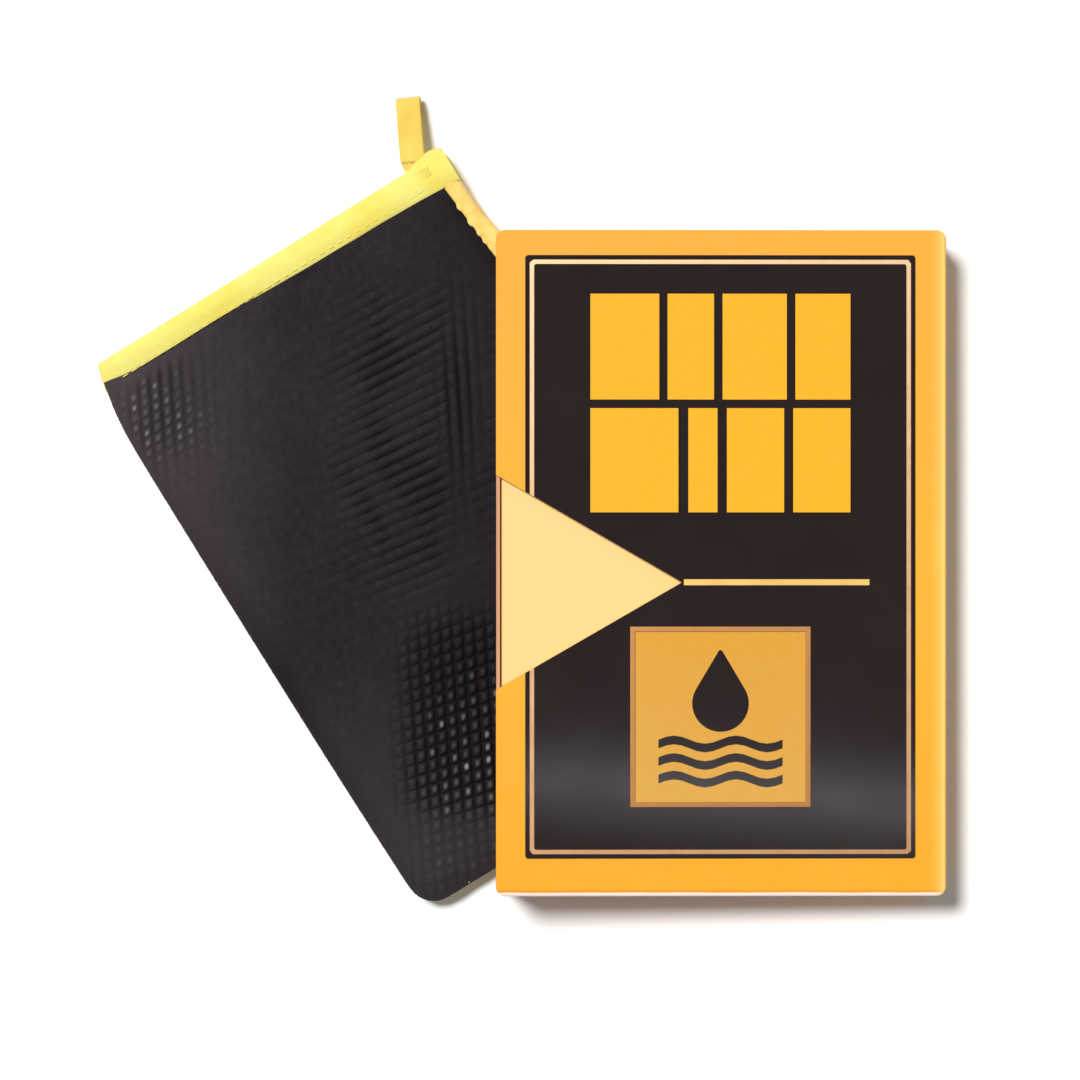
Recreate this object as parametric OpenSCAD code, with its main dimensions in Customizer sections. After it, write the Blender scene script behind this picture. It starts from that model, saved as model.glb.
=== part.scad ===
// Clay mitt for car detailing, lying clay side up with its slide-out carton leaning on its far corner.
// Millimetres, +Z up. The origin is the bottom centre of the whole set, on the table.

/* [Carton] */
// Width of the carton, from its open end to its spine
carton_w = 167; // [160:1:172]
// Height of the carton
carton_h = 247; // [246:1:254]
// Depth of the carton
carton_d = 31; // [29:0.5:34]
// Thickness of the sleeve's greyboard
board_t = 1.6; // [1.2:0.1:2]
// Thickness of the drawer's greyboard
drawer_t = 1.5; // [1:0.1:1.8]
// Reach of the thumb notch in from the open end
notch_reach = 69; // [55:0.5:75]

/* [Print] */
// Width of the yellow border at the open end of the front
border_left = 10.8; // [8:0.1:14]
// Width of the yellow border at the spine
border_right = 11.5; // [8:0.1:14]
// Width of the yellow border at the top of the front
border_top = 9.4; // [8:0.1:14]
// Width of the yellow border at the bottom of the front
border_bottom = 14; // [8:0.1:15]
// Side of the square badge, frame included
badge_side = 67; // [56:0.5:70]
// Width of the foil line that frames the front
foil_line = 1.6; // [1:0.1:2]

/* [Mitt] */
// Width of the mitt across its side seams
mitt_w = 161; // [156:1:162]
// Length of the mitt from its finger end to its cuff
mitt_l = 242; // [236:1:244]
// Width of the mitt at its cuff
cuff_span = 153; // [150:1:155]
// Thickness of the plush back
plush_t = 5.2; // [4.8:0.1:6]
// Gap inside the hand pocket
pocket_t = 6.5; // [6.3:0.1:8]
// Thickness of the foam behind the clay
foam_t = 2.2; // [2:0.1:3]
// Thickness of the clay rubber
clay_t = 1.2; // [1:0.1:1.5]
// Depth of the binding along the cuff
cuff_depth = 10.5; // [10:0.1:12]

/* [Hanging loop] */
// Width of the loop's strap
loop_w = 9.2; // [8:0.1:10]
// Radius of the strap's outside at its fold
loop_r = 5; // [4.6:0.1:5.2]
// Distance from the loop's root to the centre of its fold
loop_reach = 22.3; // [20:0.1:26]

/* [Placing] */
// Lean of the carton on the mitt, in degrees
carton_lean = 4.5; // [4.3:0.1:5]
// Turn of the mitt from the carton's upright, in degrees
mitt_turn = 31.5; // [30:0.5:33]

/* [Hidden] */

far = 500;                                  // larger than the whole set
carton_x = 157.7;                           // the spine's lower edge, which stands on the table
carton_y = -24.1;                           // middle of the carton's height
mitt_x = -31.8;                             // middle of the mitt
mitt_y = -12.6;

wrap_t = 0.4;                               // printed paper around the sleeve
wrap_r = 1.1;                               // roundness of the sleeve's long edges
carton_r = 3.5;                             // roundness of the carton's corners, seen from the front
ink_t = 0.15;                               // height that a print or foil stands up
sleeve_skin = wrap_t + board_t;
drawer_gap = 0.4;                           // clearance between the drawer and the sleeve, each side
drawer_z = sleeve_skin + 0.3;
drawer_top = carton_d - sleeve_skin - drawer_gap;
drawer_half = carton_h / 2 - sleeve_skin - drawer_gap;
drawer_in = -sleeve_skin - 0.6;             // inner end of the drawer
card_t = 1;                                 // the insert card
card_drop = 1;                              // how far the card's face lies below the drawer's rim
notch_y = -7.1;                             // middle of the notch, from the carton's middle
notch_half = notch_reach * tan(30);         // a tip of 60 degrees

lining_t = 0.5;
rim_side = 3;                               // plush that wraps up round the left side and finger end
rim_wide = 6.5;                             // plush that shows beside the clay along the right side
corner_r = 11;                              // roundness of the finger end's corners
bind_t = 0.9;                               // binding tape
half_w = mitt_w / 2;
half_l = mitt_l / 2;
cuff_half = cuff_span / 2;
cuff_lo = half_l - cuff_depth;              // lower edge of the binding
panel_top = cuff_lo + 2.5;                  // the panels end inside the binding
taper_left = 96;                            // where the sides start to narrow towards the cuff
taper_right = 67;

// Heights of the layers where the mitt lies free, from the table up
plush_z = plush_t;
lining_z = plush_z + lining_t;
pocket_z = lining_z + pocket_t;
foam_z = pocket_z + lining_t;
clay_z = foam_z + foam_t;
face_z = clay_z + clay_t;

// The carton presses the mitt into a wedge. Each layer's height is given free, at the carton's
// open end, and at the mitt's corner under the carton.
open_x = carton_x - carton_w * cos(carton_lean);
corner_x = mitt_x + half_w * cos(mitt_turn) + half_l * sin(mitt_turn) - 5;
press_run = 14;                             // the top starts to sink this far outside the carton
past = 10;                                  // how far the pressed surfaces run on past the corner
press_gap = 0.35;                           // clearance between the mitt and the carton
function carton_under(x) = (carton_x - x) * tan(carton_lean);
edge_z = carton_under(open_x) - press_gap;
tip_z = carton_under(corner_x) - press_gap;
edge_front = 0.85 * foam_t + clay_t;        // foam and clay at the carton's open end
tip_front = 0.36 * foam_t + 0.83 * clay_t;  // foam and clay at the corner
plush_s = [plush_z, 0.85 * plush_t, 0.31 * plush_t];
lining_s = [lining_z, 0.85 * plush_t + lining_t, 0.31 * plush_t + 0.25];
pocket_s = [pocket_z, edge_z - edge_front - lining_t, tip_z - tip_front - 0.25];
foam_s = [foam_z, edge_z - edge_front, tip_z - tip_front];
clay_s = [clay_z, edge_z - clay_t, tip_z - 0.83 * clay_t];
face_s = [face_z, edge_z, tip_z];
rim_s = [face_z - 0.3, edge_z - 0.3, tip_z - 0.2];

loop_x = 66.3;                              // root of the loop along the cuff
loop_lean = 25.5;                           // the loop leans towards the right side
strap_t = 1.2;
eye_start = 4;                              // the strap's two sides part this far from the root
strap_gap = 0.15;                           // between the loop's root and the tail that holds it
loop_z = pocket_z + 2.65;                   // height of the root
loop_out = strap_t + strap_gap + loop_w / 2 * sin(loop_lean);  // the slanted root clears the binding
loop_droop = asin((loop_z - loop_r - 0.1) / loop_reach);
stitch_r = 0.28;
stitch_y = cuff_lo + 4;                     // stitch line along the binding
stitch_step = 4;
stitch_l = 2.6;

board_grey = [0.70, 0.62, 0.52];
wrap_yellow = [1.00, 0.72, 0.22];
print_black = [0.16, 0.13, 0.13];
foil_gold = [0.83, 0.64, 0.38];
card_yellow = [1.00, 0.88, 0.58];
drawer_tan = [0.84, 0.66, 0.48];
clay_black = [0.19, 0.17, 0.18];
binding_yellow = [0.98, 0.88, 0.40];
plush_yellow = [0.96, 0.84, 0.36];
lining_grey = [0.30, 0.30, 0.32];

// ---- Shared shapes ----

function arc(centre, r, from, to, steps) =
  [for (i = [0:steps]) let (a = from + (to - from) * i / steps) centre + r * [cos(a), sin(a)]];

// Outline of two circles on the x axis and the tangents between them: r1 at 0 and r2 at reach
function drop(r1, r2, reach) =
  let (lean = 90 + asin((r2 - r1) / reach))
  concat(arc([0, 0], r1, lean, 360 - lean, 8), arc([reach, 0], r2, -lean, lean, 24));

// Box between two corners
module block(low, high) {
  translate(low) cube(high - low);
}

// Rectangle between two corners
module sheet(low, high) {
  translate(low) square(high - low);
}

module round_sheet(low, high, r) {
  offset(r) sheet(low + [r, r], high - [r, r]);
}

module at_carton() {
  translate([carton_x, carton_y, 0]) rotate([0, carton_lean, 0]) children();
}

module at_mitt() {
  translate([mitt_x, mitt_y, 0]) rotate([0, 0, mitt_turn]) children();
}

// ---- Carton: sleeve ----

module notch_outline() {
  wide = (notch_reach + 1) * tan(30);
  polygon([
    [-carton_w - 1, notch_y - wide],
    [-carton_w + notch_reach, notch_y],
    [-carton_w - 1, notch_y + wide]
  ]);
}

module notch_cut() {
  translate([0, 0, carton_d - sleeve_skin - 0.1]) linear_extrude(sleeve_skin + 2) notch_outline();
}

// The carton seen from the front, drawn in by an inset
module carton_outline(inset) {
  r = carton_r - inset;
  left = inset + r - carton_w;
  right = -inset - r;
  top = carton_h / 2 - inset - r;
  polygon(concat(
    arc([right, top], r, 0, 90, 8), arc([left, top], r, 90, 180, 8),
    arc([left, -top], r, 180, 270, 8), arc([right, -top], r, 270, 360, 8)
  ));
}

// A slab with the carton's outline, between two heights
module carton_slab(inset, low, high) {
  translate([0, 0, low]) linear_extrude(high - low) carton_outline(inset);
}

// The carton's cross-section above the back sheet, with round corners at the front
module wrap_section() {
  inner = carton_h / 2 - wrap_r;
  sheet([-inner, wrap_t], [inner, carton_d]);
  sheet([-carton_h / 2, wrap_t], [carton_h / 2, carton_d - wrap_r]);
  for (y = [-inner, inner])
    translate([y, carton_d - wrap_r]) circle(r = wrap_r, $fn = 32);
}

module sleeve_wrap() {
  mouth = carton_h / 2 - sleeve_skin;
  color(wrap_yellow) at_carton() difference() {
    intersection() {
      translate([-carton_w, 0, 0]) rotate([90, 0, 90]) linear_extrude(carton_w) wrap_section();
      carton_slab(0, 0, carton_d);
    }
    carton_slab(wrap_t, 0, carton_d - wrap_t);
    block([-carton_w - 1, -mouth, 0], [1 - carton_w, mouth, carton_d - wrap_t]);
    notch_cut();
  }
}

// Printed sheet on the back, which the carton stands on
module sleeve_back_sheet() {
  color(wrap_yellow) at_carton() carton_slab(0, 0, wrap_t);
}

module sleeve_front_board() {
  color(board_grey) at_carton() difference() {
    carton_slab(wrap_t, carton_d - sleeve_skin, carton_d - wrap_t);
    notch_cut();
  }
}

module sleeve_back_board() {
  color(board_grey) at_carton() carton_slab(wrap_t, wrap_t, sleeve_skin);
}

// The part of the sleeve's walls that lies between two corners
module sleeve_wall(low, high) {
  color(board_grey) at_carton() intersection() {
    carton_slab(wrap_t, sleeve_skin, carton_d - sleeve_skin);
    block([low[0], low[1], 0], [high[0], high[1], carton_d]);
  }
}

module sleeve_top_wall() {
  sleeve_wall([-carton_w, carton_h / 2 - sleeve_skin], [0, carton_h / 2]);
}

module sleeve_bottom_wall() {
  sleeve_wall([-carton_w, -carton_h / 2], [0, sleeve_skin - carton_h / 2]);
}

module sleeve_spine() {
  half = carton_h / 2 - sleeve_skin;
  sleeve_wall([-sleeve_skin, -half], [0, half]);
}

// ---- Carton: print and foil on the front ----

print_low = [border_left - carton_w, border_bottom - carton_h / 2];
print_high = [-border_right, carton_h / 2 - border_top];
print_r = 0.9;                              // corners of the black print
foil_inset = 1.7;                           // black between the border and the foil line
foil_r = 1.4;                               // outer corners of the foil line
title_half = 48.2;
badge_y = -57;
badge_rim = 2;
front_middle = (print_low[0] + print_high[0]) / 2;

// A flat shape that stands on the front, from one height above it to another
module on_front(z, t) {
  at_carton() translate([0, 0, carton_d + z]) linear_extrude(t) difference() {
    children();
    notch_outline();
  }
}

module front_print() {
  color(print_black) on_front(0, ink_t) round_sheet(print_low, print_high, print_r);
}

module foil_frame() {
  edge = [foil_inset, foil_inset];
  line = edge + [foil_line, foil_line];
  color(foil_gold) on_front(ink_t, ink_t) difference() {
    round_sheet(print_low + edge, print_high - edge, foil_r);
    round_sheet(print_low + line, print_high - line, foil_r / 2);
  }
}

module foil_rule() {
  color(foil_gold) on_front(ink_t, ink_t)
    sheet([notch_reach - carton_w + 0.6, notch_y - 1.1], [138.4 - carton_w, notch_y + 1.1]);
}

// Two rows of plain blocks where a title would stand
module title_blocks() {
  color(wrap_yellow) on_front(ink_t, ink_t) translate([front_middle, 0]) {
    for (x = [[-title_half, -22.7], [-19.6, -2.4], [0.8, 24.6], [27.8, title_half]])
      sheet([x[0], 60.6], [x[1], 99.8]);
    for (x = [[-title_half, -15.6], [-11.9, -1.1], [2.4, 23.6], [27, title_half]])
      sheet([x[0], 18.8], [x[1], 57.4]);
  }
}

module badge_square(side) {
  translate([front_middle, badge_y]) square(side, center = true);
}

module badge_plate() {
  color(wrap_yellow) on_front(ink_t, 0.2) badge_square(badge_side - 2 * badge_rim);
}

module badge_frame() {
  color(foil_gold) on_front(ink_t, 0.5) difference() {
    badge_square(badge_side);
    badge_square(badge_side - 2 * badge_rim);
  }
}

// A band that follows a sine wave
function wave(half, height, crest, steps = 16) = concat(
  [for (i = [0:steps]) [half * (2 * i / steps - 1), height / 2 + crest * sin(720 * i / steps)]],
  [for (i = [steps:-1:0]) [half * (2 * i / steps - 1), -height / 2 + crest * sin(720 * i / steps)]]
);

// A water drop over three waves
module badge_icon() {
  color(print_black) on_front(ink_t + 0.2, ink_t) translate([front_middle, badge_y]) {
    translate([0, 24]) rotate(-90) polygon(drop(0.8, 10.5, 19));
    for (y = [-10, -16.5, -23])
      translate([0, y]) polygon(wave(23, 3.2, 1.5));
  }
}

// ---- Carton: drawer ----

module drawer_floor() {
  color(drawer_tan) at_carton()
    block([-carton_w, -drawer_half, drawer_z], [drawer_in, drawer_half, drawer_z + drawer_t]);
}

module drawer_end(x) {
  color(drawer_tan) at_carton()
    block([x, -drawer_half, drawer_z + drawer_t], [x + drawer_t, drawer_half, drawer_top]);
}

module drawer_outer_end() {
  drawer_end(-carton_w);
}

module drawer_inner_end() {
  drawer_end(drawer_in - drawer_t);
}

module drawer_side(y) {
  color(drawer_tan) at_carton()
    block([drawer_t - carton_w, y, drawer_z + drawer_t], [drawer_in - drawer_t, y + drawer_t, drawer_top]);
}

module drawer_top_side() {
  drawer_side(drawer_half - drawer_t);
}

module drawer_bottom_side() {
  drawer_side(-drawer_half);
}

// A card over the drawer, with flanges folded down to the floor along its long sides and its outer end
module insert_card() {
  half = drawer_half - drawer_t - 0.4;
  low = drawer_z + drawer_t;
  high = drawer_top - card_drop;
  left = drawer_t + 0.4 - carton_w;
  right = drawer_in - drawer_t - 0.8;
  color(card_yellow) at_carton() difference() {
    block([left, -half, low], [right, half, high]);
    block([left + card_t, card_t - half, low - 1], [right + 1, half - card_t, high - card_t]);
  }
}

// ---- Mitt: panels ----

// Outline of the mitt, drawn in from its left side, right side and finger end
module mitt_outline(left, right, finger, top = panel_top) {
  r = corner_r - min(left, finger);
  end = finger - half_l;
  polygon(concat(
    arc([half_w - right - r, end + r], r, -90, 0, 8),
    [[half_w - right, taper_right], [cuff_half - right, cuff_lo], [cuff_half - right, top]],
    [[left - cuff_half, top], [left - cuff_half, cuff_lo], [left - half_w, taper_left]],
    arc([left - half_w + r, end + r], r, 180, 270, 8)
  ));
}

// Height of one of the mitt's surfaces past its corner
function past_corner(s) = s[2] - past * (s[1] - s[2]) / (corner_x - open_x);

// One layer of the mitt, between a lower surface and an upper one
module layer(low, high) {
  intersection() {
    at_mitt() linear_extrude(face_z + 1) children();
    translate([0, far, 0]) rotate([90, 0, 0]) linear_extrude(2 * far) polygon([
      [-far, low[0]], [open_x - press_run, low[0]], [open_x, low[1]], [corner_x + past, past_corner(low)],
      [corner_x + past, past_corner(high)], [open_x, high[1]], [open_x - press_run, high[0]],
      [-far, high[0]]
    ]);
  }
}

module clay_face() {
  color(clay_black) layer(clay_s, face_s) mitt_outline(1.3, rim_wide + 0.3, 1.3);
}

module pocket_outline() {
  mitt_outline(rim_side, rim_wide, rim_side);
}

module face_foam() {
  color("dimgray") layer(foam_s, clay_s) pocket_outline();
}

module pocket_lining_front() {
  color(lining_grey) layer(pocket_s, foam_s) pocket_outline();
}

module pocket_lining_back() {
  color(lining_grey) layer(plush_s, lining_s) pocket_outline();
}

// The back panel gives way to the binding along the cuff
module plush_back() {
  side = cuff_half - 1.3;
  color(plush_yellow) difference() {
    layer([0, 0, 0], plush_s) difference() {
      mitt_outline(0, 0, 0);
      for (s = [-1, 1])
        sheet([s > 0 ? side : -half_w, cuff_lo], [s > 0 ? half_w : -side, half_l]);
    }
    at_mitt() block([-half_w, cuff_lo, -1], [half_w, half_l, bind_t]);
  }
}

// ---- Mitt: the plush edge that closes the pocket round three sides ----

module rim_outline() {
  difference() {
    mitt_outline(0, 0, 0, cuff_lo);
    mitt_outline(rim_side, rim_wide, rim_side);
  }
}

finger_y = corner_r - half_l;               // the finger end's corners reach up to here

module plush_rim_left() {
  color(plush_yellow) layer(plush_s, clay_s) intersection() {
    rim_outline();
    sheet([-far, finger_y], [0, far]);
  }
}

module plush_rim_right() {
  color(plush_yellow) layer(plush_s, rim_s) intersection() {
    rim_outline();
    sheet([0, finger_y], [far, far]);
  }
}

module plush_rim_finger() {
  color(plush_yellow) layer(plush_s, clay_s) intersection() {
    rim_outline();
    sheet([-far, -far], [far, finger_y]);
  }
}

// ---- Mitt: cuff ----

// Tape folded over an edge between two heights, drawn in the plane across the cuff
module binding(low, high) {
  color(binding_yellow) at_mitt() translate([-cuff_half, 0, 0]) rotate([90, 0, 90])
    linear_extrude(cuff_span) difference() {
      sheet([cuff_lo, low], [half_l, high]);
      sheet([cuff_lo - 1, low + bind_t], [half_l - bind_t, high - bind_t]);
    }
}

module cuff_binding_front() {
  difference() {
    binding(pocket_z - bind_t, face_z + bind_t);
    at_mitt() block(
      [loop_x - loop_w / 2 - 0.1, half_l - 2, loop_z - strap_t - 0.1],
      [loop_x + loop_w / 2 + 0.1, half_l + 1, loop_z + strap_t + 0.1]
    );
  }
}

module cuff_binding_back() {
  binding(0, lining_z + bind_t);
}

// Where the front and back are sewn together at both ends of the mouth
module cuff_side_seams() {
  color(binding_yellow) at_mitt()
    for (x = [-cuff_half, cuff_half - 1])
      block([x, cuff_lo, lining_z + bind_t], [x + 1, half_l, pocket_z - bind_t]);
}

module cuff_elastic() {
  for (z = [2.6, pocket_z + 0.2])
    color("white") at_mitt()
      block([3 - cuff_half, panel_top + 0.6, z], [cuff_half - 3, half_l - bind_t - 0.5, z + 1]);
}

module cuff_stitching() {
  count = floor((cuff_span - 14) / stitch_step);
  color(binding_yellow) at_mitt()
    for (i = [0:count - 1])
      translate([6 - cuff_half + i * stitch_step, stitch_y, face_z + bind_t + stitch_r])
        rotate([0, 90, 0]) cylinder(r = stitch_r, h = stitch_l, $fn = 24);
}

// ---- Mitt: hanging loop ----

module at_loop_root() {
  at_mitt() translate([loop_x, half_l + loop_out, loop_z]) rotate([0, 0, -loop_lean]) children();
}

// The two ends of the strap, held inside the binding
module loop_tail() {
  color(binding_yellow) difference() {
    at_mitt() block(
      [loop_x - loop_w / 2, panel_top + 0.6, loop_z - strap_t],
      [loop_x + loop_w / 2, half_l + loop_w / 2, loop_z + strap_t]
    );
    at_loop_root() block([-loop_w, -strap_t - strap_gap, -strap_t - 1], [loop_w, loop_w, strap_t + 1]);
  }
}

module loop_bartack() {
  color(binding_yellow) at_mitt()
    for (i = [0:4])
      translate([loop_x - 3.6, half_l - 2 - i * 0.8, face_z + bind_t + stitch_r])
        rotate([0, 90, 0]) cylinder(r = stitch_r, h = 7.2, $fn = 24);
}

module hang_loop() {
  color(binding_yellow) at_loop_root() rotate([-loop_droop, 0, 0])
    translate([-loop_w / 2, 0, 0]) rotate([90, 0, 90]) linear_extrude(loop_w) difference() {
      polygon(drop(strap_t, loop_r, loop_reach));
      translate([eye_start, 0]) polygon(drop(0.2, loop_r - strap_t, loop_reach - eye_start));
    }
}

sleeve_wrap();
sleeve_back_sheet();
sleeve_front_board();
sleeve_back_board();
sleeve_top_wall();
sleeve_bottom_wall();
sleeve_spine();
front_print();
foil_frame();
foil_rule();
title_blocks();
badge_plate();
badge_frame();
badge_icon();
drawer_floor();
drawer_outer_end();
drawer_inner_end();
drawer_top_side();
drawer_bottom_side();
insert_card();
clay_face();
face_foam();
pocket_lining_front();
pocket_lining_back();
plush_back();
plush_rim_left();
plush_rim_right();
plush_rim_finger();
cuff_binding_front();
cuff_binding_back();
cuff_side_seams();
cuff_elastic();
cuff_stitching();
loop_tail();
loop_bartack();
hang_loop();
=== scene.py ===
"""Looks for a clay mitt lying face up, with the slide-out carton that it comes in leaning on its corner.

Shapes are worked out in millimetres in the mitt's or the carton's own axes and put into the row frame,
in metres, as each piece is made.
"""

import math
import random

import bmesh
import bpy
import numpy as np
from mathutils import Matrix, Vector, noise


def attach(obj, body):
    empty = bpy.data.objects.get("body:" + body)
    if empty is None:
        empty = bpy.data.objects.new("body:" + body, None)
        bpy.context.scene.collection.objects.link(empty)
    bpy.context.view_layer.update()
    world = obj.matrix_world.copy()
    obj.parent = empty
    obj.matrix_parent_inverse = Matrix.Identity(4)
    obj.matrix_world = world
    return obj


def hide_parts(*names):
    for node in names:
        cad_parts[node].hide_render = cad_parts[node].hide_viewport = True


MM = 0.001

# The carton's own axes: x runs out from the spine's lower edge (0 there, negative inside), y up the front,
# z up from the back.
CARTON_EDGE = (157.7, -24.1)
CARTON_LEAN = math.radians(4.5)
CARTON_W, CARTON_H, CARTON_D = 167.0, 247.0, 31.0
CARTON_R = 3.5  # corners, seen from the front
NOTCH_Y, NOTCH_REACH = -7.1, 69.0
DRAWER_T, CARD_T = 1.5, 1.0
CARD_LOW, CARD_HIGH = 3.8, 27.6  # the card's flanges and its face, above the carton's back

# The mitt's own axes: u across it, v from its finger end to its cuff, z up from the table.
MITT_MIDDLE = (-31.8, -12.6)
MITT_TURN = math.radians(31.5)
HALF_L, CUFF_HALF = 121.0, 76.5  # half the mitt's length and half the cuff's width
CORNER_R = 10.5
PITCH_COL, PITCH_ROW = 4.2, 4.74  # of the lattice embossed in the clay
CUFF_LOW = 110.5

# Where the carton presses the mitt. Each surface's height is given free, at the carton's open end and at
# the mitt's far corner.
OPEN_X, CORNER_X, CARTON_TOP_Y = -8.8, 95.1, 99.4
SETTLE = 42.0  # the top starts to sink this far outside the carton
PLUSH_TOP = (5.2, 4.42, 1.61)
LINING_TOP = (5.7, 4.92, 1.86)
POCKET_TOP = (12.2, 9.1, 2.54)
FOAM_BASE = (12.7, 9.6, 2.79)
CLAY_BASE = (14.9, 11.47, 3.58)
FACE = (16.1, 12.67, 4.58)
ROLL, WAVES = 4.4, 0.7  # how far the front rolls down at its edge, and how deep its waves are


# ---- Placing ----


def carton_points(p):
    """Points in the carton's axes, in millimetres, to the row frame in metres."""
    p = np.asarray(p, float)
    c, s = math.cos(CARTON_LEAN), math.sin(CARTON_LEAN)
    x = CARTON_EDGE[0] + p[:, 0] * c + p[:, 2] * s
    y = CARTON_EDGE[1] + p[:, 1]
    z = p[:, 2] * c - p[:, 0] * s
    return np.stack([x, y, z], 1) * MM


def mitt_xy(u, v):
    """Points on the mitt to the row frame's x and y, both in millimetres."""
    c, s = math.cos(MITT_TURN), math.sin(MITT_TURN)
    return MITT_MIDDLE[0] + u * c - v * s, MITT_MIDDLE[1] + u * s + v * c


def mitt_points(p):
    """Points in the mitt's axes, in millimetres, to the row frame in metres."""
    p = np.asarray(p, float)
    x, y = mitt_xy(p[:, 0], p[:, 1])
    return np.stack([x, y, p[:, 2]], 1) * MM


def smooth(t):
    """Eases from 0 to 1 as t does."""
    t = np.clip(t, 0, 1)
    return t * t * (3 - 2 * t)


# ---- Meshes ----


def piece(name, points, faces, material, body, replaces, sharp=40):
    """A new object from points in metres, which rides on a body and may stand for CAD nodes."""
    mesh = bpy.data.meshes.new(name)
    mesh.from_pydata([tuple(map(float, p)) for p in points], [], [tuple(map(int, f)) for f in faces])
    return finished(name, mesh, material, body, replaces, sharp)


def finished(name, mesh, material, body, replaces, sharp):
    mesh.validate()
    outward(mesh)
    mesh.shade_smooth()
    if sharp:
        mesh.set_sharp_from_angle(angle=math.radians(sharp))
    mesh.materials.append(material)
    obj = placed(name, mesh)
    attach(obj, body)
    if replaces:
        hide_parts(*replaces)
    return obj


def adjusted(item, **settings):
    """Sets properties of a Blender item, and gives it back."""
    for key, value in settings.items():
        setattr(item, key, value)
    return item


def placed(name, data):
    """A new object in the scene."""
    obj = bpy.data.objects.new(name, data)
    bpy.context.collection.objects.link(obj)
    return obj


def outward(mesh):
    """Turns a closed mesh's faces outwards."""
    shape = bmesh.new()
    shape.from_mesh(mesh)
    if shape.calc_volume(signed=True) < 0:
        bmesh.ops.reverse_faces(shape, faces=shape.faces)
        shape.to_mesh(mesh)
    shape.free()


def loft(rings, closed=False, capped=True):
    """Points and faces that join rings of the same number of points, each ring closed on itself."""
    count = len(rings[0])
    points = np.concatenate(rings)
    faces = []
    for i in range(len(rings) if closed else len(rings) - 1):
        a, b = i * count, (i + 1) % len(rings) * count
        for j in range(count):
            k = (j + 1) % count
            faces.append((a + j, b + j, b + k, a + k))
    if capped and not closed:
        faces.append(tuple(range(count)))
        faces.append(tuple(range(len(points) - 1, len(points) - 1 - count, -1)))
    return points, faces


def joined(shapes):
    """Several shapes of (points, faces) as one."""
    points, faces = [], []
    total = 0
    for p, f in shapes:
        faces += [tuple(i + total for i in corners) for corners in f]
        points.append(p)
        total += len(p)
    return np.concatenate(points), faces


def circle(steps):
    """Angles once round, in radians."""
    return np.radians(np.arange(0, 360, 360 // steps))


def squarish(t, sideways=0.6, upward=0.6):
    """The point at an angle on a circle that is squared off, more so for smaller powers."""
    c, s = math.cos(t), math.sin(t)
    return math.copysign(abs(c) ** sideways, c), math.copysign(abs(s) ** upward, s)


def mitt_piece(name, shape, material, nodes, sharp):
    points, faces = shape
    return piece(name, mitt_points(points), faces, material, "mitt", nodes, sharp)


def arc(centre, r, start, end, steps):
    a = np.radians(np.linspace(start, end, steps + 1))
    return [(centre[0] + r * math.cos(t), centre[1] + r * math.sin(t)) for t in a]


# The mitt's sides as (u, v) from the finger end up: the whole of it, then the plush edge and the clay alone.
LEFT_SIDE = [
    (-79.0, -106), (-79.55, -85), (-80.1, -60), (-80.6, -30), (-81.0, 0), (-81.3, 30), (-81.5, 60),
    (-81.6, 78), (-81.5, 88), (-81.2, 96), (-80.3, 104), (-78.9, 112), (-77.2, 121),
]
RIGHT_SIDE = [(81.0, 67), (80.6, 80), (79.6, 92), (77.6, 111), (76.5, 121)]
STRIP_SIDE = [(81.0, 67), (80.7, 82), (79.9, 87.5), (78.6, 92.5), (78.0, 99), (77.8, 111)]
CLAY_SIDE = [(75.6, 50), (74.0, 75), (72.7, 90), (71.6, 102), (70.7, 111), (69.7, 121)]
PLUSH_INSET = 2.6  # the plush lies this far under the clay's edge at the left and the finger end


def across_at(side, v):
    """How far across the mitt one of its sides lies at v."""
    across, along = np.transpose(side)
    return np.interp(v, along, across)


def mitt_outline(inset, side, top):
    """Corners of an outline of the mitt, anticlockwise, drawn in from its left side and its finger end."""
    r = CORNER_R - inset
    end = inset - HALF_L + 0.7
    left = LEFT_SIDE[0][0] + inset
    return (
        arc((side[0][0] - r, end + r), r, -90, 0, 7)
        + [(u, v) for u, v in side if v < top]
        + [(across_at(side, top), top), (inset + across_at(LEFT_SIDE, top), top)]
        + [(u + inset, v) for u, v in LEFT_SIDE[::-1] if v < top]
        + arc((left + 0.3 + r, end + r), r, 183, 270, 7)
    )


def edges_of(outline):
    """(point, inward normal) of each edge of a convex outline that runs anticlockwise."""
    found = []
    for a, b in zip(outline, outline[1:] + outline[:1]):
        along = np.subtract(b, a)
        length = np.hypot(*along)
        if length > 1e-6:
            found.append((np.array(a), np.array([-along[1], along[0]]) / length))
    return found


def depth_inside(u, v, edges):
    """How far points lie inside a convex outline, in millimetres."""
    return np.min([(u - a[0]) * n[0] + (v - a[1]) * n[1] for a, n in edges], axis=0)


OUTER_EDGES = edges_of(mitt_outline(0, RIGHT_SIDE, HALF_L))
ROLLED = [(a, n) for a, n in OUTER_EDGES if n[0] > 0.1 or n[1] > 0.4]  # left side and finger end
RIGHT_EDGES = [(a, n) for a, n in OUTER_EDGES if n[0] < -0.7]


# ---- The mitt's surfaces ----


def surface(heights, x, y):
    """Height of one of the mitt's surfaces where the carton presses it and where it lies free."""
    free, edge, corner = heights
    away = np.clip((OPEN_X - x) / SETTLE, 0, 1)
    beside = free + (edge - free) * (1 - away) ** 2
    under = edge - (x - OPEN_X) * (edge - corner) / (CORNER_X - OPEN_X)
    sunk = np.where(x < OPEN_X, beside, under)
    return free + (sunk - free) * smooth((CARTON_TOP_Y + 28 - y) / 28)


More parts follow.
